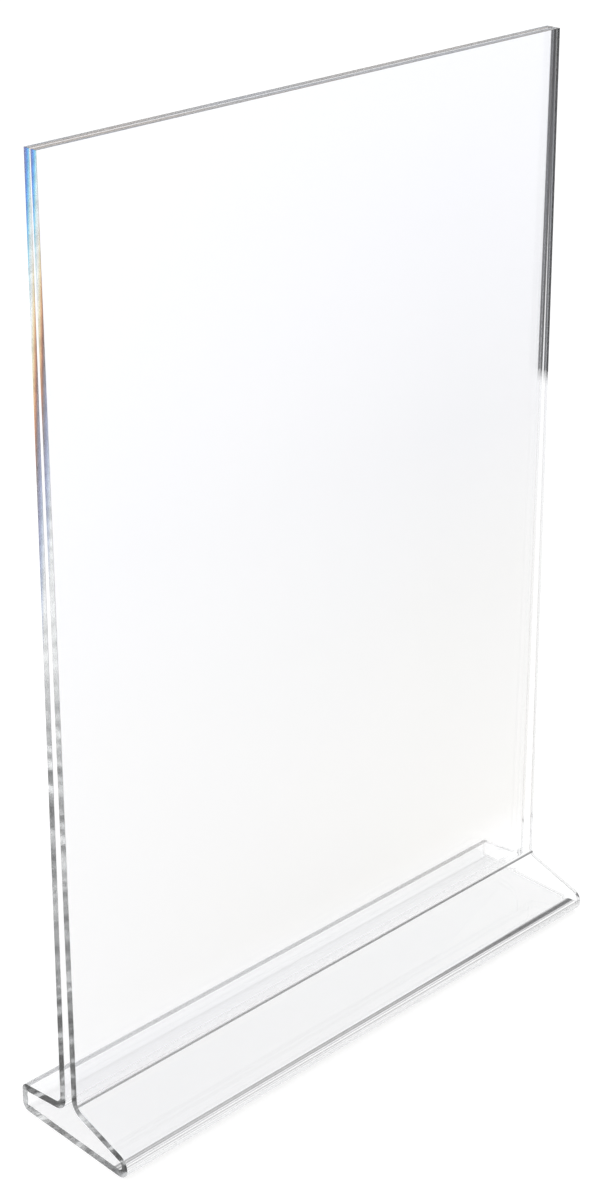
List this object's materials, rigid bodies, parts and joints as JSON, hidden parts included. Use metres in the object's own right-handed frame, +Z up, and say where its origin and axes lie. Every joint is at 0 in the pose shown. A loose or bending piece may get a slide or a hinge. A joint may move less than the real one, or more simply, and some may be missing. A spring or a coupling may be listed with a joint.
{
  "type": "sign stand",
  "caption": "Clear acrylic table-top sign stand: two upright panels form a narrow display slot above a hollow bent base.",
  "frame": {"origin": "on the table, in the middle of the base's footprint", "axes": "+Z up, +Y from the front leg to the rear leg, X along the width of the sign"},
  "size_m": [0.21, 0.05, 0.313],
  "materials": {
    "clear_acrylic": "clear, polished faces, sawn side edges"
  },
  "bodies": {
    "root": {"front_panel": "clear_acrylic", "front_bend": "clear_acrylic", "front_leg": "clear_acrylic", "nose_upper": "clear_acrylic", "nose_lower": "clear_acrylic", "base_plate": "clear_acrylic", "heel_lower_bend": "clear_acrylic", "heel_wall": "clear_acrylic", "heel_upper_bend": "clear_acrylic", "rear_leg": "clear_acrylic", "rear_bend": "clear_acrylic", "rear_panel": "clear_acrylic"}
  },
  "joints": []
}
